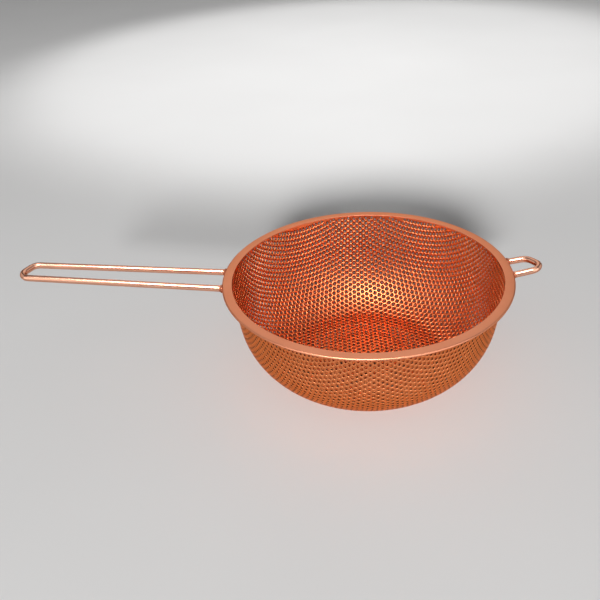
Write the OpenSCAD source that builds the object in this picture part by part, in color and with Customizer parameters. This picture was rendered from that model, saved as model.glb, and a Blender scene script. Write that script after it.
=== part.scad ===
// Punched-sheet strainer: a round drawn bowl, a folded ring round its edge,
// a long wire handle, a wire rest hook on the far side, and the welds that hold the wires.
// The origin is the centre of the base. +Z is up, the handle points to -X and the hook to +X.

/* [Bowl] */
// Diameter of the mouth, inside the rim
mouth_d = 204; // [190:1:220]
// Height from the base to the top of the rim
bowl_h = 79; // [74:1:84]
// Thickness of the bowl's sheet
sheet_t = 0.6; // [0.5:0.1:1]
// Slope of the straight wall, in degrees from vertical
wall_slope = 8.5; // [7:0.5:10]
// Height of the straight wall, measured down from the top of the rim
wall_h = 32; // [30:1:34]
// Radius of the large curve from the wall towards the base
side_r = 61; // [60:0.5:62]
// Radius of the small curve round the flat base
base_r = 15; // [12:1:18]

/* [Punched holes] */
// Distance between the centres of neighbouring holes
hole_pitch = 4.4; // [4.4:0.1:6]
// Diameter of one hole
hole_d = 2; // [1.5:0.1:2.6]
// Smooth border left between the base holes and the base curve
base_border = 2; // [1:0.5:6]

/* [Rim ring] */
// Width of the flat ring, seen from above
rim_w = 7.4; // [6.5:0.1:9]
// Thickness of the folded ring
rim_t = 1.8; // [1.8:0.1:3]
// How far the ring stands inwards of the wall
rim_overhang = 1; // [0.6:0.1:1.2]

/* [Wire] */
// Diameter of the wire
wire_d = 4.8; // [4:0.2:5]
// Depth of the wire's centre below the top of the rim, where it meets the rim
wire_drop = 2.6; // [2.6:0.1:3]
// How far each weld spreads round the wire
weld_spread = 0.8; // [0.8:0.1:1.6]
// Length of each weld along the wire, outside the rim
weld_l = 1.6; // [1.5:0.1:4]

/* [Long handle] */
// Reach of the handle's end from the bowl's axis
handle_reach = 262; // [220:1:320]
// Distance between the two wires where they meet the rim
handle_root_w = 25; // [22:0.5:30]
// Distance between the two wires just before the end of the loop
handle_end_w = 19.8; // [18:0.2:24]
// Rise of the handle, in degrees
handle_rise = 5; // [0:0.2:8]
// Lean of the loop's end bar, in degrees
handle_end_lean = 21; // [0:1:22]
// Bend radius of the loop's corners
handle_bend_r = 7; // [6:0.25:7]

/* [Rest hook] */
// Reach of the hook's end from the bowl's axis
hook_reach = 128.5; // [127:0.5:140]
// Distance between the two wires where they meet the rim
hook_root_w = 21; // [20:0.5:26]
// Distance between the two wires just before the end of the hook
hook_end_w = 18.5; // [18.5:0.5:22]
// Rise of the hook, in degrees
hook_rise = 12; // [0:0.5:16]
// Lean of the hook's end bar, in degrees
hook_end_lean = 28; // [0:1:35]
// Bend radius of the hook's corner on the side with the shorter wire
hook_wide_bend_r = 9; // [6:0.25:9.5]
// Bend radius of the hook's other corner
hook_bend_r = 6.5; // [6:0.25:7]
// Sideways offset of the hook from the handle's line
hook_offset = 5.5; // [0:0.5:6]

/* [Hidden] */
$fn = 96;

copper_bright = [0.86, 0.52, 0.38];
copper_bowl = [0.78, 0.42, 0.29];
copper_wire = [0.88, 0.62, 0.50];
copper_weld = [0.74, 0.45, 0.32];

mouth_r = mouth_d / 2;
rim_out_r = mouth_r + rim_w;
rim_fold_r = rim_t / 2;
// The bowl's own flange fills the middle third of the folded ring
flange_t = rim_t / 3;
flange_top = bowl_h - flange_t;
flange_out_r = rim_out_r - rim_t;
wall_top_r = mouth_r + rim_overhang + sheet_t;

// Where the straight wall ends, and the centres of the two curves below it
tangent_z = bowl_h - wall_h;
tangent_r = wall_top_r - wall_h * tan(wall_slope);
side_x = tangent_r - side_r * cos(wall_slope);
side_z = tangent_z + side_r * sin(wall_slope);
centre_gap = side_r - base_r;
base_x = side_x + sqrt(pow(centre_gap, 2) - pow(side_z - base_r, 2));
base_angle = atan2(base_x - side_x, side_z - base_r);
join_z = base_r - base_r * cos(base_angle);

hole_rows = ceil(base_x / hole_pitch);
row_step = hole_pitch * sqrt(3) / 2;
// The sheet's hole pattern isn't centred on the bowl: these offsets leave metal at the axis
pattern_x = 0.44 * hole_pitch;
pattern_y = 0.25 * hole_pitch;

// Legs start under the ring, against the wall
root_x = wall_top_r;
bend_overlap = 0.3;
bend_allowance = 0.04;
// How far the areas that make up the bowl's half section run into each other
core_gap = 1;

// ---------- shared shapes ----------

// Half section, from the axis outwards, of the solid inside the bowl's surface.
// inset moves that surface inwards by one sheet thickness.
module bowl_half_section(inset, top_z) {
    wall_inset = inset / cos(wall_slope);
    reach = (top_z - tangent_z) * tan(wall_slope);
    cut_z = tangent_z + inset * sin(wall_slope);
    cut_r = tangent_r - inset * cos(wall_slope);
    side_join = join_z + inset * cos(base_angle);
    // Reaches down into the curve below it, so that the two are one area
    polygon([
        [0, side_join + core_gap],
        [side_x, side_join + core_gap],
        [cut_r, cut_z],
        [tangent_r - wall_inset + reach, top_z],
        [0, top_z]
    ]);
    round_band(side_x, side_z, side_r - inset, side_join, cut_z);
    round_band(base_x, base_r, base_r - inset, inset, side_join);
    translate([0, side_join - core_gap])
        square([side_x, 2 * core_gap]);
}

// Band between two heights, filled from the axis out to a circle
module round_band(x, z, r, low_z, high_z) {
    intersection() {
        translate([0, low_z])
            square([x + r + 1, high_z - low_z]);
        union() {
            translate([x, z])
                circle(r = r);
            square([x, z + r]);
        }
    }
}

// Ring's outline before the slot for the bowl's flange is taken out
module rim_outline() {
    translate([mouth_r, bowl_h - rim_t])
        square([rim_w - rim_fold_r, rim_t]);
    translate([rim_out_r - rim_fold_r, bowl_h - rim_fold_r])
        circle(r = rim_fold_r);
}

// Solid of the ring and of the straight wall below it, which the welds are trimmed to
module ring_and_wall_mass() {
    rotate_extrude() {
        translate([0, bowl_h - rim_t])
            square([rim_out_r - rim_fold_r, rim_t]);
        translate([rim_out_r - rim_fold_r, bowl_h - rim_fold_r])
            circle(r = rim_fold_r);
        polygon([
            [0, tangent_z],
            [tangent_r, tangent_z],
            [wall_top_r, bowl_h],
            [0, bowl_h]
        ]);
    }
}

// Wire is cut flat where it runs under the ring
module under_ring_cut() {
    translate([0, 0, bowl_h - rim_t])
        cylinder(r = rim_out_r, h = 2 * wire_d);
}

// Straight round bar from a to b in the XY plane. It runs a little into the bends at its ends
// and is a hair thinner than they are, so that its end stays inside them.
module bar(a, b, d) {
    translate([a[0], a[1], 0])
        rotate([0, 0, atan2(b[1] - a[1], b[0] - a[0])])
            rotate([0, 90, 0])
                translate([0, 0, -bend_overlap])
                    cylinder(h = norm(b - a) + 2 * bend_overlap, d = d - bend_allowance);
}

function unit(v) = v / norm(v);
function turn_angle(a, b, c) = acos(unit(b - a) * unit(c - b));
function tangent_length(a, b, c, r) = r * tan(turn_angle(a, b, c) / 2);
function bend_start(a, b, c, r) = b - unit(b - a) * tangent_length(a, b, c, r);
function bend_end(a, b, c, r) = b + unit(c - b) * tangent_length(a, b, c, r);
function right_of(v) = [v[1], -v[0]];

// Round bend at corner b of the route a, b, c, turning clockwise as it goes
module bend(a, b, c, r, d) {
    start = bend_start(a, b, c, r);
    centre = start + right_of(unit(b - a)) * r;
    finish = bend_end(a, b, c, r);
    sweep = turn_angle(a, b, c);
    translate([centre[0], centre[1], 0])
        rotate([0, 0, atan2(finish[1] - centre[1], finish[0] - centre[0])])
            rotate_extrude(angle = sweep)
                translate([r, 0])
                    circle(d = d, $fn = 48);
}

// Corners of a loop that leaves the bowl along +X: far root, far end, near end, near root
function loop_route(root_w, end_w, reach, lean) = [
    [root_x, root_w / 2],
    [reach - end_w / 2 * tan(lean), end_w / 2],
    [reach + end_w / 2 * tan(lean), -end_w / 2],
    [root_x, -root_w / 2]
];

// Wire bent along such a route, with a bend radius for each of its two corners
module wire_loop(route, far_r, near_r, d) {
    far_start = bend_start(route[0], route[1], route[2], far_r);
    far_finish = bend_end(route[0], route[1], route[2], far_r);
    near_start = bend_start(route[1], route[2], route[3], near_r);
    near_finish = bend_end(route[1], route[2], route[3], near_r);
    bar(route[0], far_start, d);
    bend(route[0], route[1], route[2], far_r, d);
    bar(far_finish, near_start, d);
    bend(route[1], route[2], route[3], near_r, d);
    bar(near_finish, route[3], d);
}

// Lifts a loop from the XY plane to the rim, tilted up by its rise
module at_rim(rise) {
    translate([rim_out_r, 0, bowl_h - wire_drop])
        rotate([0, -rise, 0])
            translate([-rim_out_r, 0, 0])
                children();
}

handle_route = loop_route(handle_root_w, handle_end_w, handle_reach, handle_end_lean);
hook_route = loop_route(hook_root_w, hook_end_w, hook_reach, hook_end_lean);

// Fillet of weld round one leg: a sleeve under the ring and a cone that fades out along the wire
module weld_on_leg(root, next) {
    weld_d = wire_d + 2 * weld_spread;
    sleeve_l = rim_out_r - root_x;
    translate([root[0], root[1], 0])
        rotate([0, 0, atan2(next[1] - root[1], next[0] - root[0])])
            rotate([0, 90, 0]) {
                cylinder(h = sleeve_l, d = weld_d);
                translate([0, 0, sleeve_l])
                    cylinder(h = weld_l, d1 = weld_d, d2 = wire_d + 0.2);
            }
}

// Both welds of a loop, trimmed to the ring, the wall and the wire, and kept under the rim's top
module loop_welds(route, rise) {
    difference() {
        at_rim(rise) {
            weld_on_leg(route[0], route[1]);
            weld_on_leg(route[3], route[2]);
        }
        at_rim(rise) {
            bar(route[0], route[1], wire_d);
            bar(route[3], route[2], wire_d);
        }
        ring_and_wall_mass();
        translate([0, -rim_out_r, bowl_h])
            cube([2 * rim_out_r, 2 * rim_out_r, wire_d]);
    }
}

// ---------- pieces ----------

module bowl() {
    color(copper_bowl)
        difference() {
            rotate_extrude()
                union() {
                    difference() {
                        bowl_half_section(0, flange_top);
                        bowl_half_section(sheet_t, flange_top + 1);
                    }
                    translate([wall_top_r - sheet_t / 2, flange_top - flange_t])
                        square([flange_out_r - wall_top_r + sheet_t / 2, flange_t]);
                }
            base_holes();
        }
}

// Holes of the flat base, on the punched sheet's triangular pattern
module base_holes() {
    for (column = [-hole_rows - 1:hole_rows + 1])
        for (row = [-hole_rows - 1:hole_rows + 1]) {
            x = column * row_step + pattern_x;
            y = (row + (column % 2 == 0 ? 0 : 0.5)) * hole_pitch + pattern_y;
            if (norm([x, y]) < base_x - base_border - hole_d / 2)
                translate([x, y, -1])
                    cylinder(h = sheet_t + 2, d = hole_d, $fn = 24);
        }
}

module rim_ring() {
    color(copper_bright)
        rotate_extrude()
            difference() {
                rim_outline();
                // Slot that grips the bowl's flange
                translate([0, bowl_h - 2 * flange_t])
                    square([flange_out_r, flange_t]);
                // Clearance for the wall below the slot
                translate([0, bowl_h - rim_t - 1])
                    square([wall_top_r + 0.2, rim_t + 1 - flange_t]);
            }
}

module long_handle() {
    color(copper_wire)
        difference() {
            mirror([1, 0, 0])
                at_rim(handle_rise)
                    wire_loop(handle_route, handle_bend_r, handle_bend_r, wire_d);
            under_ring_cut();
        }
}

module rest_hook() {
    color(copper_wire)
        difference() {
            translate([0, hook_offset, 0])
                at_rim(hook_rise)
                    wire_loop(hook_route, hook_wide_bend_r, hook_bend_r, wire_d);
            under_ring_cut();
        }
}

module handle_welds() {
    color(copper_weld)
        mirror([1, 0, 0])
            loop_welds(handle_route, handle_rise);
}

module hook_welds() {
    color(copper_weld)
        translate([0, hook_offset, 0])
            loop_welds(hook_route, hook_rise);
}

bowl();
rim_ring();
long_handle();
rest_hook();
handle_welds();
hook_welds();
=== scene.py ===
"""Punched-sheet strainer: detailed bowl, folded ring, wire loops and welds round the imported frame."""
import math
import random

import bpy
import numpy as np
from mathutils import Matrix, Vector
from mathutils.geometry import delaunay_2d_cdt


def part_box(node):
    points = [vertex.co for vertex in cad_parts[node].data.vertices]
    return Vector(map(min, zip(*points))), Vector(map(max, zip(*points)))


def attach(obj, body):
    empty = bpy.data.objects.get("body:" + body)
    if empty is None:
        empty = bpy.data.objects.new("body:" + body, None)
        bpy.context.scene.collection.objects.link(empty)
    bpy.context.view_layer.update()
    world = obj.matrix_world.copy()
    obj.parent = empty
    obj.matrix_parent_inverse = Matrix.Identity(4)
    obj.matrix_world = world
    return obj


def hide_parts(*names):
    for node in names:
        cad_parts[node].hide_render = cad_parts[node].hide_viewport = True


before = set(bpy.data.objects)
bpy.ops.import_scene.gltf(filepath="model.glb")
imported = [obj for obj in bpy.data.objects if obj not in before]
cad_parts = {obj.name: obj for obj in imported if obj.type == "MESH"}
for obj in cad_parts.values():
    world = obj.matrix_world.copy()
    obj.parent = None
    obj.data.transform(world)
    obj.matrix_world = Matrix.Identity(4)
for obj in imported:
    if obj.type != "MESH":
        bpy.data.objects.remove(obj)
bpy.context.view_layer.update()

MM = 0.001
TURN = 2 * math.pi

# ---------- sizes in millimetres, as the frame has them ----------

ring_low, ring_high = (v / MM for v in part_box("rim_ring"))
bowl_low, bowl_high = (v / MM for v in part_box("bowl"))
RIM_TOP = ring_high.z
RIM_T = ring_high.z - ring_low.z
RIM_OUT_R = ring_high.x
MOUTH_R = 102.0
FLANGE_T = RIM_T / 3
FLANGE_TOP = bowl_high.z
FLANGE_OUT_R = bowl_high.x
SHEET_T = 0.6

# Bowl's outer outline
WALL_TOP_R = MOUTH_R + 1.6
WALL_SLOPE = math.radians(8.5)
WALL_H = 32.0
SIDE_R = 61.0
BASE_R = 15.0
FLANGE_BEND_R = 0.9
# The bowl stands on a shallow ring pressed down out of its base
FOOT_DEPTH = 0.45
FOOT_IN_R = 32.0
FOOT_OUT_R = 49.0
FOOT_BEND_R = 6.0

# Holes, on the flat blank that the bowl is drawn from
HOLE_PITCH = 4.4
HOLE_R = 1.0
HOLE_SIDES = 8
PATTERN_TURN = math.radians(1.3)
PATTERN_SHIFT = (0.44, 0.25)
PUNCHED_R = 34.6 * HOLE_PITCH
# Thickness of the drawn sheet against the blank's: just outside the flat base, and at the rim
GATHER_LOW = 0.94
GATHER_HIGH = 1.35
BORDER_GAP = 0.6 * HOLE_PITCH
RING_STEPS = 216
DRAW_SAMPLES = 4001
MERGE_GAP = 1e-5
# Rows of faces up the plain margin, and round the bend into the flange
MARGIN_ROWS = 3
FLANGE_BEND_ROWS = 4
# Faces of the holes' walls. The bowl's material paints them a darker copper: partly the duller punched edge,
# partly painted shade in the holes.
CUT_FACES = "punched_edge"

# Folded ring: its gap to the wall, and the radii of its small edges
RIM_WALL_GAP = 0.2
RIM_EDGE_R = 0.1
SLOT_EDGE_R = 0.05
LIP_EDGE_R = 0.16
# Keeps the outer fold's two bends from meeting in one point
FOLD_GAP = 0.01
EDGE_STEPS = 5
RIM_STEPS = 288

# Wire
WIRE_R = 2.4
WIRE_DROP = 2.6
WIRE_SIDES = 28
WIRE_BEND_STEPS = 16
# Distances along a leg from the wall, close together where the wire comes out from under the ring
LEG_STARTS = (0.0, 2.0, 4.0, 5.0, 5.6, 5.9, 6.1, 6.4, 7.0, 8.0, 10.0)
LEG_ROWS = 8
LONG_LEG = 20.0
LEG_END_GAP = 0.5
# Within this distance inside the ring's edge, the wire isn't yet pressed down by the ring
RING_EDGE_GAP = 0.05

# Weld fillets: how far they spread past the wire and run out from the ring, and their unevenness
WELD_SPREAD = 0.8
WELD_L = 1.6
WELD_SIDES = 24
WELD_STOPS = (0.0, 1.5, 3.0, 4.4, 5.2, 5.6, 5.8, 6.0, 6.3, 6.6, 6.9, 7.2, 7.4)
WELD_SKIN = 0.02
WELD_UNDER_RING = 0.9
WELD_WIDE = 1.15
WELD_HIGH = 0.75
WELD_UNEVEN = 0.25
WELD_TOP_GAP = 0.25

# Loops: distance between the legs at the rim and at the end, reach, lean of the end bar and rise in degrees,
# bend radii of the corners on the shorter and the longer leg, and sideways offset
HANDLE = dict(side=-1, root_w=25.0, end_w=19.8, reach=262.0, lean=21.0, rise=5.0,
              wide_bend=7.0, bend=7.0, offset=0.0)
HOOK = dict(side=1, root_w=21.0, end_w=18.5, reach=128.5, lean=28.0, rise=12.0,
            wide_bend=9.0, bend=6.5, offset=5.5)


# ---------- camera, floor and light ----------

CAMERA_AT = Vector((-19.2, -476.5, 353.1)) * MM
AIM_AT = Vector((-49.0, -35.9, RIM_TOP)) * MM
CAMERA_ROLL = math.radians(-3.63)
# What the lights aim at, in metres
LIT_AT = Vector((0.0, 0.0, 0.04))
# Floor in metres: half its width, its near and far ends, the bend at its far end and the backdrop's height
FLOOR_HALF_W = 7.0
FLOOR_NEAR = -7.0
FLOOR_FAR = 6.0
FLOOR_BEND_R = 0.8
FLOOR_BEND_STEPS = 12
BACKDROP_H = 1.4


def make_camera():
    data = bpy.data.cameras.new("camera")
    data.lens = 43.3
    data.sensor_width = 36.0
    data.clip_start = 0.01
    data.clip_end = 50.0
    obj = bpy.data.objects.new("camera", data)
    bpy.context.collection.objects.link(obj)
    aim = (AIM_AT - CAMERA_AT).to_track_quat("-Z", "Y").to_matrix()
    turn = Matrix.Rotation(CAMERA_ROLL, 3, "Z")
    obj.matrix_world = Matrix.Translation(CAMERA_AT) @ (aim @ turn).to_4x4()
    bpy.context.scene.camera = obj


# ---------- materials ----------

class Nodes:
    """Short way to add shader nodes and join them."""

    def __init__(self, material):
        self.tree = material.node_tree
        self.tree.nodes.clear()

    def add(self, kind, inputs=None, **settings):
        node = self.tree.nodes.new(kind)
        for key, value in settings.items():
            setattr(node, key, value)
        for key, value in (inputs or {}).items():
            if isinstance(value, bpy.types.NodeSocket):
                self.tree.links.new(value, node.inputs[key])
            else:
                node.inputs[key].default_value = value
        return node

    def ramp(self, factor, stops):
        node = self.add("ShaderNodeValToRGB", {"Fac": factor})
        while len(node.color_ramp.elements) < len(stops):
            node.color_ramp.elements.new(0.5)
        for element, (place, colour) in zip(node.color_ramp.elements, stops):
            element.position = place
            element.color = colour if len(colour) == 4 else (*colour, 1.0)
        return node.outputs["Color"]

    def remap(self, value, low, high):
        node = self.add("ShaderNodeMapRange", {"Value": value, "To Min": low, "To Max": high})
        return node.outputs["Result"]


def linear(r, g, b):
    """Colour from its 0-255 display values."""
    def one(v):
        v /= 255
        return v / 12.92 if v <= 0.04045 else ((v + 0.055) / 1.055) ** 2.4
    return (one(r), one(g), one(b), 1.0)


def copper(name, light, dark, gloss, rough, cloud, bump, grain=900.0, lines=None,
           edge=(0.88, 0.52, 0.34, 1.0), cut=None):
    """Copper plating: clouded colour, uneven gloss, fine grain and faint drawing or rolling lines.
    edge is its tint at grazing angles, and cut the darker copper put on the punched hole walls: partly the
    duller punched edge, partly painted shade that dulls the reflections in the holes."""
    material = bpy.data.materials.new(name)
    material.use_nodes = True
    n = Nodes(material)
    place = n.add("ShaderNodeTexCoord").outputs["Object"]
    clouds = n.add("ShaderNodeTexNoise", {"Vector": place, "Scale": cloud, "Detail": 5.0, "Roughness": 0.6})
    colour = n.ramp(clouds.outputs["Fac"], [(0.32, dark), (0.68, light)])
    fine = n.add("ShaderNodeTexNoise", {"Vector": place, "Scale": grain, "Detail": 3.0, "Roughness": 0.65})
    if lines:
        streak_place = n.add("ShaderNodeMapping", {"Vector": place, "Scale": lines}).outputs["Vector"]
        streaks = n.add(
            "ShaderNodeTexNoise", {"Vector": streak_place, "Scale": 1.0, "Detail": 4.0, "Roughness": 0.7}
        )
        relief = n.add(
            "ShaderNodeMix", {"Factor": 0.5, "A": fine.outputs["Fac"], "B": streaks.outputs["Fac"]}
        ).outputs["Result"]
    else:
        relief = fine.outputs["Fac"]
    roughness = n.remap(clouds.outputs["Fac"], rough - gloss, rough + gloss)
    # On the hole walls the colour and the edge tint become the darker cut copper: partly the duller punched
    # edge, partly painted shade that dulls the holes.
    if cut:
        is_cut = n.add("ShaderNodeAttribute", attribute_name=CUT_FACES).outputs["Fac"]
        colour, edge = (
            n.add("ShaderNodeMixRGB", {"Fac": is_cut, "Color1": sheet, "Color2": cut}).outputs["Color"]
            for sheet in (colour, edge)
        )
    bumped = n.add("ShaderNodeBump", {"Strength": bump, "Distance": 0.0002, "Height": relief})
    shader = n.add(
        "ShaderNodeBsdfPrincipled",
        {"Base Color": colour, "Metallic": 1.0, "Roughness": roughness,
         "Specular Tint": edge, "Normal": bumped.outputs["Normal"]},
    )
    n.add("ShaderNodeOutputMaterial", {"Surface": shader.outputs["BSDF"]})
    return material


# ---------- meshes ----------

def new_object(name, verts, faces, material, normals=None):
    mesh = bpy.data.meshes.new(name)
    mesh.from_pydata((np.asarray(verts, float) * MM).tolist(), [], faces)
    mesh.shade_smooth()
    if normals is not None:
        mesh.normals_split_custom_set(normals)
    mesh.materials.append(material)
    obj = bpy.data.objects.new(name, mesh)
    bpy.context.collection.objects.link(obj)
    return obj


class Outline:
    """Line drawn by straight and curved strokes from the axis outwards, measured along its length."""

    def __init__(self, r, z):
        self.strokes = []
        self.length = 0.0
        self.end = (r, z, 0.0)

    def stroke(self, length, turn=0.0):
        """Adds a stroke that turns upwards by this angle over its length."""
        self.strokes.append((self.length, length, turn, self.end))
        self.length += length
        self.end = self.place(self.strokes[-1], length)
        return self

    @staticmethod
    def place(stroke, along):
        _, length, turn, (r, z, heading) = stroke
        bend = turn / length
        if abs(bend) < 1e-9:
            return (r + along * math.cos(heading), z + along * math.sin(heading), heading)
        later = heading + bend * along
        return (
            r + (math.sin(later) - math.sin(heading)) / bend,
            z + (math.cos(heading) - math.cos(later)) / bend,
            later,
        )

    def at(self, s):
        """Radius, height and heading at a distance along the line."""
        for stroke in reversed(self.strokes):
            if s >= stroke[0]:
                return self.place(stroke, s - stroke[0])
        return self.place(self.strokes[0], 0.0)


def bowl_outline():
    """Middle line of the sheet, from the axis to the edge of the flange."""
    half = SHEET_T / 2
    tangent_z = RIM_TOP - WALL_H
    tangent_r = WALL_TOP_R - WALL_H * math.tan(WALL_SLOPE)
    side_x = tangent_r - SIDE_R * math.cos(WALL_SLOPE)
    side_z = tangent_z + SIDE_R * math.sin(WALL_SLOPE)
    # The base outside the foot ring stands as high as the middle of the base
    base_z = FOOT_DEPTH + BASE_R
    base_x = side_x + math.sqrt((SIDE_R - BASE_R) ** 2 - (side_z - base_z) ** 2)
    base_turn = math.atan2(base_x - side_x, side_z - base_z)
    # Each side of the foot ring is an S of two equal bends
    step_turn = math.acos(1 - FOOT_DEPTH / 2 / FOOT_BEND_R)
    step_arc = FOOT_BEND_R * step_turn
    step_run = 2 * FOOT_BEND_R * math.sin(step_turn)
    line = Outline(0.0, FOOT_DEPTH + half)
    line.stroke(FOOT_IN_R)
    line.stroke(step_arc, -step_turn).stroke(step_arc, step_turn)
    line.stroke(FOOT_OUT_R - FOOT_IN_R - 2 * step_run)
    line.stroke(step_arc, step_turn).stroke(step_arc, -step_turn)
    line.stroke(base_x - FOOT_OUT_R)
    line.flat_end = line.length
    line.stroke((BASE_R - half) * base_turn, base_turn)
    side_turn = math.pi / 2 - WALL_SLOPE - base_turn
    line.stroke((SIDE_R - half) * side_turn, side_turn)
    bend_turn = math.pi / 2 - WALL_SLOPE
    flange_z = FLANGE_TOP - FLANGE_T / 2
    bend_rise = FLANGE_BEND_R * (1 - math.cos(bend_turn))
    line.stroke((flange_z - bend_rise - line.end[1]) / math.cos(WALL_SLOPE))
    line.wall_end = line.length
    line.stroke(FLANGE_BEND_R * bend_turn, -bend_turn)
    line.stroke(FLANGE_OUT_R - line.end[0])
    return line


class DrawMap:
    """Where a point of the flat blank comes to lie on the bowl: the sheet keeps its volume as it is drawn."""

    def __init__(self, line):
        self.line = line
        self.s = np.linspace(0.0, line.wall_end, DRAW_SAMPLES)
        r = np.array([line.at(s)[0] for s in self.s])
        drawn = np.clip((self.s - line.flat_end) / (line.wall_end - line.flat_end), 0, 1)
        gathered = GATHER_LOW + (GATHER_HIGH - GATHER_LOW) * drawn
        thick = np.where(self.s < line.flat_end, 1.0, gathered)
        area = r * thick
        steps = (area[1:] + area[:-1]) / 2 * np.diff(self.s)
        self.blank_r = np.sqrt(2 * np.concatenate([[0.0], np.cumsum(steps)]))

    def along(self, blank_r):
        return float(np.interp(blank_r, self.blank_r, self.s))


def surface_point(line, s, angle, side):
    """Point of the inner (side 1) or outer (side -1) surface, and the way that surface faces."""
    r, z, heading = line.at(s)
    half = SHEET_T / 2 * side
    r -= half * math.sin(heading)
    z += half * math.cos(heading)
    face_r, face_z = -math.sin(heading) * side, math.cos(heading) * side
    c, d = math.cos(angle), math.sin(angle)
    return (r * c, r * d, z), (face_r * c, face_r * d, face_z)


class Lattice:
    """Triangular pattern of holes on the blank: alternate columns are shifted by half a pitch."""

    def __init__(self):
        self.column_step = HOLE_PITCH * math.sqrt(3) / 2
        reach = int(PUNCHED_R / self.column_step) + 3
        self.cells = {}
        for column in range(-reach, reach + 1):
            for row in range(-reach - 1, reach + 2):
                x, y = self.centre(column, row)
                if math.hypot(x, y) <= PUNCHED_R:
                    self.cells[(column, row)] = (x, y)

    def centre(self, column, row):
        x = (column * self.column_step) + PATTERN_SHIFT[0] * HOLE_PITCH
        y = (row + (column % 2) / 2) * HOLE_PITCH + PATTERN_SHIFT[1] * HOLE_PITCH
        return x, y

    def nearest(self, x, y):
        column = (x - PATTERN_SHIFT[0] * HOLE_PITCH) / self.column_step
        best = None
        for c in (math.floor(column), math.floor(column) + 1):
            row = round((y / HOLE_PITCH) - PATTERN_SHIFT[1] - (c % 2) / 2)
            cx, cy = self.centre(c, row)
            gap = math.hypot(cx - x, cy - y)
            if best is None or gap < best[0]:
                best = (gap, (c, row))
        return best[1]


def punched_blank():
    """Flat blank: its points, its triangles, the holes' rings, and the ring that ends it."""
    lattice = Lattice()
    corner_r = HOLE_PITCH / math.sqrt(3)
    corner_angles = [TURN / 6 * k for k in range(6)]
    ring_angles = [TURN * (k + 0.5) / HOLE_SIDES for k in range(HOLE_SIDES)]
    points, faces, holes = [], [], []
    corners, edges = {}, {}

    def corner(x, y):
        # A cell's corners lie on a grid of half corner radii and half pitches
        key = (round(x / (corner_r / 2) - 2 * PATTERN_SHIFT[0] * HOLE_PITCH / corner_r),
               round(y / (HOLE_PITCH / 2) - 2 * PATTERN_SHIFT[1]))
        if key not in corners:
            corners[key] = len(points)
            points.append((x, y))
        return corners[key]

    for x, y in lattice.cells.values():
        outer = [corner(x + corner_r * math.cos(a), y + corner_r * math.sin(a))
                 for a in corner_angles]
        ring = list(range(len(points), len(points) + HOLE_SIDES))
        points.extend((x + HOLE_R * math.cos(a), y + HOLE_R * math.sin(a)) for a in ring_angles)
        holes.append((ring, (x, y)))
        # Walk round the hole and its cell together, closing the smaller angle first
        i = j = 0
        while i < HOLE_SIDES or j < 6:
            next_i = ring_angles[0] + TURN * (i + 1) / HOLE_SIDES if i < HOLE_SIDES else math.inf
            next_j = TURN * (j + 1) / 6 if j < 6 else math.inf
            here, there = ring[i % HOLE_SIDES], outer[j % 6]
            if next_i < next_j:
                faces.append((here, there, ring[(i + 1) % HOLE_SIDES]))
                i += 1
            else:
                faces.append((here, there, outer[(j + 1) % 6]))
                j += 1
        for k in range(6):
            pair = (outer[k], outer[(k + 1) % 6])
            key = (min(pair), max(pair))
            edges[key] = edges.get(key, 0) + 1
    jagged = [pair for pair, count in edges.items() if count == 1]

    # Plain border between the last cells and a circle
    first = len(points)
    rim_r = PUNCHED_R + BORDER_GAP
    points.extend((rim_r * math.cos(a), rim_r * math.sin(a))
                  for a in (TURN * k / RING_STEPS for k in range(RING_STEPS)))
    rim = list(range(first, len(points)))
    used = sorted({i for pair in jagged for i in pair}) + rim
    local = {i: k for k, i in enumerate(used)}
    fixed = [(local[a], local[b]) for a, b in jagged]
    fixed += [(local[rim[k]], local[rim[(k + 1) % RING_STEPS]]) for k in range(RING_STEPS)]
    flat = [Vector(points[i]) for i in used]
    _, _, triangles, origin, _, _ = delaunay_2d_cdt(flat, fixed, [], 0, MERGE_GAP)
    for face in triangles:
        ids = [used[origin[v][0]] for v in face]
        x, y = (sum(points[i][axis] for i in ids) / 3 for axis in (0, 1))
        if lattice.nearest(x, y) not in lattice.cells:
            faces.append(tuple(ids))
    return points, faces, holes, rim


def wound(points, face):
    """The triangle with its corners anticlockwise."""
    (ax, ay), (bx, by), (cx, cy) = (points[i] for i in face)
    return face if (bx - ax) * (cy - ay) > (by - ay) * (cx - ax) else (face[0], face[2], face[1])


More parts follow.
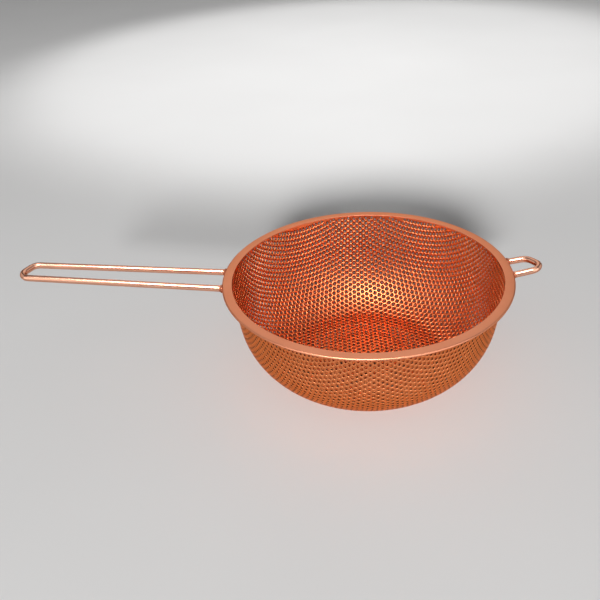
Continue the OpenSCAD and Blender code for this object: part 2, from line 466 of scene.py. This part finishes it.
def make_bowl(material):
    """Punched bowl: both surfaces of the drawn blank, the walls of its holes, its margin and its flange."""
    line = bowl_outline()
    draw = DrawMap(line)
    points, flat_faces, holes, rim = punched_blank()
    flat_faces = [wound(points, f) for f in flat_faces]
    count = len(points)
    verts, ways = [], []
    for side in (1, -1):
        for x, y in points:
            s = draw.along(math.hypot(x, y))
            at, way = surface_point(line, s, math.atan2(y, x) + PATTERN_TURN, side)
            verts.append(at)
            ways.append(way)
    faces, normals = [], []

    def add(face, face_normals):
        faces.append(face)
        normals.extend(face_normals)

    for f in flat_faces:
        add(f, [ways[i] for i in f])
        g = (f[0] + count, f[2] + count, f[1] + count)
        add(g, [ways[i] for i in g])
    # Walls of the holes, facing the hole's middle
    first_cut = len(faces)
    for ring, (x, y) in holes:
        s = draw.along(math.hypot(x, y))
        middle = Vector(surface_point(line, s, math.atan2(y, x) + PATTERN_TURN, 0)[0])
        inward = [(middle - Vector(verts[i])).normalized() for i in ring]
        for k in range(HOLE_SIDES):
            m = (k + 1) % HOLE_SIDES
            a, b = ring[k], ring[m]
            add((a, a + count, b + count, b), [inward[k], inward[k], inward[m], inward[m]])
    last_cut = len(faces)
    # Margin, bend and flange, turned from the ring outwards
    start = draw.along(PUNCHED_R + BORDER_GAP)
    stops = [start + (line.wall_end - start) * k / MARGIN_ROWS for k in range(1, MARGIN_ROWS + 1)]
    bend_end = line.strokes[-1][0]
    stops += [line.wall_end + (bend_end - line.wall_end) * k / FLANGE_BEND_ROWS
              for k in range(1, FLANGE_BEND_ROWS + 1)]
    stops += [line.length]
    rings = [(rim, [i + count for i in rim])]
    for s in stops:
        pair = []
        for side in (1, -1):
            first = len(verts)
            for k in range(RING_STEPS):
                at, way = surface_point(line, s, TURN * k / RING_STEPS + PATTERN_TURN, side)
                verts.append(at)
                ways.append(way)
            pair.append(list(range(first, first + RING_STEPS)))
        rings.append(tuple(pair))
    for (in_a, out_a), (in_b, out_b) in zip(rings, rings[1:]):
        for k in range(RING_STEPS):
            m = (k + 1) % RING_STEPS
            f = (in_a[k], in_b[k], in_b[m], in_a[m])
            g = (out_a[k], out_a[m], out_b[m], out_b[k])
            add(f, [ways[i] for i in f])
            add(g, [ways[i] for i in g])
    in_end, out_end = rings[-1]
    for k in range(RING_STEPS):
        m = (k + 1) % RING_STEPS
        out = [(math.cos(a), math.sin(a), 0.0) for a in
               (TURN * k / RING_STEPS + PATTERN_TURN, TURN * m / RING_STEPS + PATTERN_TURN)]
        add((in_end[k], out_end[k], out_end[m], in_end[m]), [out[0], out[0], out[1], out[1]])
    bowl = new_object("punched_bowl", verts, faces, material, normals)
    # Marks the hole walls, which the material paints darker: partly the punched edge, partly painted shade.
    is_cut = [1.0 if first_cut <= k < last_cut else 0.0 for k in range(len(faces))]
    bowl.data.attributes.new(CUT_FACES, "FLOAT", "FACE").data.foreach_set("value", is_cut)
    return bowl


def rounded(corners, steps):
    """Closed outline through corners of (radius, height, bend), each rounded off by its bend."""
    out = []
    for k, corner in enumerate(corners):
        b = Vector(corner[:2])
        size = corner[2]
        a, c = Vector(corners[k - 1][:2]), Vector(corners[(k + 1) % len(corners)][:2])
        u, v = (a - b).normalized(), (c - b).normalized()
        half = u.angle(v) / 2
        cut = size / math.tan(half)
        start, end = b + u * cut, b + v * cut
        centre = b + (u + v).normalized() * (size / math.sin(half))
        for j in range(steps + 1):
            p = start.lerp(end, j / steps)
            out.append(centre + (p - centre).normalized() * size)
    return out


def lathe(name, section, steps, material):
    """Closed section turned about the axis."""
    verts, faces = [], []
    size = len(section)
    for k in range(steps):
        a = TURN * k / steps
        verts.extend((r * math.cos(a), r * math.sin(a), z) for r, z in section)
    for k in range(steps):
        m = (k + 1) % steps
        for j in range(size):
            i = (j + 1) % size
            faces.append((k * size + j, m * size + j, m * size + i, k * size + i))
    return new_object(name, verts, faces, material)


def make_rim(material):
    """Strip folded round the bowl's flange, with its inner edge left square."""
    low = RIM_TOP - RIM_T
    slot_low, slot_top = low + FLANGE_T, FLANGE_TOP
    wall_r = WALL_TOP_R + RIM_WALL_GAP
    fold = RIM_T / 2 - FOLD_GAP
    section = rounded([
        (MOUTH_R, slot_top, RIM_EDGE_R),
        (FLANGE_OUT_R, slot_top, SLOT_EDGE_R),
        (FLANGE_OUT_R, slot_low, SLOT_EDGE_R),
        (wall_r, slot_low, RIM_EDGE_R),
        (wall_r, low, RIM_EDGE_R),
        (RIM_OUT_R, low, fold),
        (RIM_OUT_R, RIM_TOP, fold),
        (MOUTH_R, RIM_TOP, LIP_EDGE_R),
    ], EDGE_STEPS)
    return lathe("folded_rim", section, RIM_STEPS, material)


# ---------- wires ----------

def loop_line(loop):
    """Middle line of a wire loop in its own plane, from one root round the end to the other."""
    lean = loop["end_w"] / 2 * math.tan(math.radians(loop["lean"]))
    root_x = WALL_TOP_R
    route = [Vector(p) for p in (
        (root_x, loop["root_w"] / 2),
        (loop["reach"] - lean, loop["end_w"] / 2),
        (loop["reach"] + lean, -loop["end_w"] / 2),
        (root_x, -loop["root_w"] / 2),
    )]
    # Cut of each corner's bend from its two straight parts
    bends = {1: loop["wide_bend"], 2: loop["bend"]}
    cuts = {k: r / math.tan((route[k - 1] - route[k]).angle(route[k + 1] - route[k]) / 2)
            for k, r in bends.items()}
    legs = {}
    for here, there in ((0, 1), (3, 2)):
        way = (route[there] - route[here]).normalized()
        long = (route[there] - route[here]).length - cuts[there]
        stops = list(LEG_STARTS)
        if long > LONG_LEG:
            rest = long - stops[-1]
            stops += [LEG_STARTS[-1] + rest * k / LEG_ROWS for k in range(1, LEG_ROWS)]
        legs[here] = [route[here] + way * d for d in stops if d < long - LEG_END_GAP]
    out = list(legs[0])
    for k in (1, 2):
        b = route[k]
        u, v = (route[k - 1] - b).normalized(), (route[k + 1] - b).normalized()
        half = u.angle(v) / 2
        start = b + u * cuts[k]
        centre = b + (u + v).normalized() * (bends[k] / math.sin(half))
        turn = math.pi - 2 * half
        first = math.atan2(start.y - centre.y, start.x - centre.x)
        angles = (first - turn * j / WIRE_BEND_STEPS for j in range(WIRE_BEND_STEPS + 1))
        out.extend(centre + Vector((math.cos(a), math.sin(a))) * bends[k] for a in angles)
    out.extend(reversed(legs[3]))
    return out


def lift(loop, p, up):
    """Point of a loop's own plane, placed at the rim and tilted by the loop's rise."""
    rise = math.radians(loop["rise"])
    along = p[0] - RIM_OUT_R
    x = RIM_OUT_R + along * math.cos(rise) - up * math.sin(rise)
    z = RIM_TOP - WIRE_DROP + along * math.sin(rise) + up * math.cos(rise)
    return Vector((x * loop["side"], p[1] + loop["offset"], z))


def under_ring(p):
    """Keeps a point below the ring where it lies under it."""
    if math.hypot(p.x, p.y) < RIM_OUT_R - RING_EDGE_GAP:
        p.z = min(p.z, RIM_TOP - RIM_T)
    return p


def sweep(line, widths, loop, sides):
    """Tube round a line of the loop's plane. widths gives its half width and half height at each point."""
    verts, faces = [], []
    for k, p in enumerate(line):
        before, after = line[max(k - 1, 0)], line[min(k + 1, len(line) - 1)]
        way = (after - before).normalized()
        across = Vector((-way.y, way.x))
        wide, high = widths[k]
        for j in range(sides):
            a = TURN * j / sides
            q = Vector(p) + across * (wide * math.cos(a))
            verts.append(lift(loop, q, high * math.sin(a)))
    for k in range(len(line) - 1):
        for j in range(sides):
            m = (j + 1) % sides
            faces.append((k * sides + j, k * sides + m, (k + 1) * sides + m, (k + 1) * sides + j))
    faces.append(tuple(range(sides))[::-1])
    faces.append(tuple((len(line) - 1) * sides + j for j in range(sides)))
    if loop["side"] < 0:
        faces = [f[::-1] for f in faces]
    return verts, faces


def make_wire(name, loop, material):
    """Wire loop, pressed flat against the ring where it lies under it."""
    line = loop_line(loop)
    verts, faces = sweep(line, [(WIRE_R, WIRE_R)] * len(line), loop, WIRE_SIDES)
    return new_object(name, [under_ring(v) for v in verts], faces, material)


def make_welds(name, loop, material, seed):
    """A small fillet of weld round each leg, under and beside the ring."""
    rng = random.Random(seed)
    root_x = WALL_TOP_R
    lean = loop["end_w"] / 2 * math.tan(math.radians(loop["lean"]))
    verts, faces = [], []
    sleeve = RIM_OUT_R - root_x
    for side, reach in ((1, loop["reach"] - lean), (-1, loop["reach"] + lean)):
        root = Vector((root_x, side * loop["root_w"] / 2))
        way = (Vector((reach, side * loop["end_w"] / 2)) - root).normalized()
        stops, widths = [], []
        for d in WELD_STOPS:
            u = min(max((d - sleeve) / WELD_L, 0.0), 1.0)
            swell = WELD_SPREAD * WELD_UNDER_RING
            if d > sleeve:
                swell = WELD_SPREAD * (1 - math.sqrt(1 - (1 - u) ** 2))
            stops.append(root + way * d)
            wide = WIRE_R + WELD_SKIN + swell * (WELD_WIDE + WELD_UNEVEN * rng.random())
            high = WIRE_R + WELD_SKIN + swell * (WELD_HIGH + WELD_UNEVEN * rng.random())
            widths.append((wide, high))
        part, part_faces = sweep(stops, widths, loop, WELD_SIDES)
        for v in part:
            v.z = min(v.z, RIM_TOP - WELD_TOP_GAP)
            under_ring(v)
            # Never through the wall into the bowl
            wall = WALL_TOP_R - (RIM_TOP - v.z) * math.tan(WALL_SLOPE) - SHEET_T / 2
            r = math.hypot(v.x, v.y)
            if r < wall:
                v.x, v.y = v.x * wall / r, v.y * wall / r
        first = len(verts)
        verts.extend(part)
        faces.extend(tuple(i + first for i in f) for f in part_faces)
    return new_object(name, verts, faces, material)


# ---------- the strainer ----------

make_camera()

# The bowl's cut colour darkens its hole walls: partly the duller punched edge, partly painted shade that
# dulls the reflections in the holes.
bowl_copper = copper(
    "bowl_copper_plating", (0.85, 0.275, 0.108, 1.0), (0.80, 0.24, 0.09, 1.0), gloss=0.03, rough=0.34,
    cloud=55.0, bump=0.018, lines=(260.0, 260.0, 40.0), cut=(0.42, 0.11, 0.045, 1.0))
rim_copper = copper(
    "rim_copper_plating", (0.82, 0.32, 0.18, 1.0), (0.76, 0.28, 0.155, 1.0), gloss=0.04, rough=0.34,
    cloud=30.0, bump=0.02, lines=(90.0, 90.0, 900.0), edge=(0.66, 0.42, 0.30, 1.0))
wire_copper = copper(
    "wire_copper_plating", (0.86, 0.46, 0.32, 1.0), (0.80, 0.40, 0.27, 1.0), gloss=0.04, rough=0.24,
    cloud=60.0, bump=0.02, lines=(30.0, 700.0, 700.0), edge=(0.55, 0.30, 0.20, 1.0))
weld_copper = copper(
    "weld_copper_plating", linear(206, 128, 98), linear(170, 96, 70), gloss=0.06, rough=0.38,
    cloud=400.0, bump=0.25, grain=1500.0)

made = [
    (make_bowl(bowl_copper), "bowl", "bowl_copper"),
    (make_rim(rim_copper), "rim_ring", "rim_copper"),
    (make_wire("handle_wire", HANDLE, wire_copper), "long_handle", "wire_copper"),
    (make_wire("hook_wire", HOOK, wire_copper), "rest_hook", "wire_copper"),
    (make_welds("handle_weld_fillets", HANDLE, weld_copper, 3), "handle_welds", "weld_copper"),
    (make_welds("hook_weld_fillets", HOOK, weld_copper, 8), "hook_welds", "weld_copper"),
]
for piece, node, slot in made:
    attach(piece, "root")
    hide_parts(node)


# ---------- floor and light ----------

def make_floor():
    """Pale seamless floor, rising softly far behind."""
    material = bpy.data.materials.new("floor_paper")
    material.use_nodes = True
    n = Nodes(material)
    place = n.add("ShaderNodeTexCoord").outputs["Object"]
    tone = n.add("ShaderNodeTexNoise", {"Vector": place, "Scale": 3.0, "Detail": 2.0})
    colour = n.ramp(tone.outputs["Fac"], [(0.3, (0.72, 0.715, 0.71)), (0.7, (0.75, 0.745, 0.74))])
    shader = n.add("ShaderNodeBsdfPrincipled", {"Base Color": colour, "Roughness": 0.9})
    n.add("ShaderNodeOutputMaterial", {"Surface": shader.outputs["BSDF"]})
    bend_y = FLOOR_FAR - FLOOR_BEND_R
    profile = [(FLOOR_NEAR, 0.0), (bend_y, 0.0)]
    profile += [(bend_y + FLOOR_BEND_R * math.sin(a), FLOOR_BEND_R - FLOOR_BEND_R * math.cos(a))
                for a in (math.pi / 2 * k / FLOOR_BEND_STEPS for k in range(1, FLOOR_BEND_STEPS + 1))]
    profile += [(FLOOR_FAR, BACKDROP_H)]
    verts = [(x, y, z) for y, z in profile for x in (-FLOOR_HALF_W, FLOOR_HALF_W)]
    faces = [(2 * k, 2 * k + 1, 2 * k + 3, 2 * k + 2) for k in range(len(profile) - 1)]
    mesh = bpy.data.meshes.new("floor")
    mesh.from_pydata(verts, [], faces)
    mesh.shade_smooth()
    mesh.materials.append(material)
    obj = bpy.data.objects.new("floor", mesh)
    bpy.context.collection.objects.link(obj)


def softbox(name, azimuth, elevation, distance, size, glow, glossy=True):
    """Round soft light aimed at the strainer, with the given brightness of its face.
    Azimuth 0 is on the camera's side and 90 is to the right. A glossy one is only seen as a reflection
    in the copper. Any other only lights what it falls on, and has no reflection."""
    data = bpy.data.lights.new(name, "AREA")
    data.shape = "DISK"
    data.size = size
    data.energy = glow * math.pi * (math.pi * size ** 2 / 4)
    light = bpy.data.objects.new(name, data)
    bpy.context.collection.objects.link(light)
    a, e = math.radians(azimuth), math.radians(elevation)
    way = Vector((math.sin(a) * math.cos(e), -math.cos(a) * math.cos(e), math.sin(e)))
    light.location = LIT_AT + way * distance
    light.rotation_mode = "QUATERNION"
    light.rotation_quaternion = (-way).to_track_quat("-Z", "Y")
    light.visible_glossy = glossy
    light.visible_diffuse = not glossy
    light.visible_camera = False


def make_far_light():
    """Lights the far floor and leaves the bowl's own shadow dark."""
    data = bpy.data.lights.new("far_floor_light", "SPOT")
    data.energy = 44.0
    data.spot_size = math.radians(58.0)
    data.spot_blend = 0.3
    data.shadow_soft_size = 0.1
    light = bpy.data.objects.new("far_floor_light", data)
    light.location = (0.0, 1.0, 1.3)
    light.visible_glossy = False
    light.visible_camera = False
    bpy.context.collection.objects.link(light)


def make_world():
    """Faint white light from all round."""
    world = bpy.data.worlds.new("studio")
    world.use_nodes = True
    background = world.node_tree.nodes["Background"].inputs
    background["Color"].default_value = (1.0, 1.0, 1.0, 1.0)
    background["Strength"].default_value = 0.12
    bpy.context.scene.world = world


make_floor()
softbox("floor_light", azimuth=-5.0, elevation=18.0, distance=6.0, size=1.1, glow=225.0, glossy=False)
make_far_light()
softbox("right_card", azimuth=48.0, elevation=22.0, distance=1.5, size=1.5, glow=1.7)
softbox("left_card", azimuth=-48.0, elevation=22.0, distance=1.5, size=1.5, glow=1.35)
softbox("right_fill", azimuth=105.0, elevation=20.0, distance=1.6, size=1.3, glow=0.55)
softbox("left_fill", azimuth=-105.0, elevation=20.0, distance=1.6, size=1.3, glow=0.55)
softbox("top_card", azimuth=0.0, elevation=85.0, distance=1.4, size=1.6, glow=0.9)
softbox("window", azimuth=-10.0, elevation=62.0, distance=1.3, size=0.72, glow=15.0)
softbox("back_card", azimuth=180.0, elevation=35.0, distance=1.6, size=1.5, glow=0.72)
make_world()
bpy.context.scene.view_settings.view_transform = "Standard"
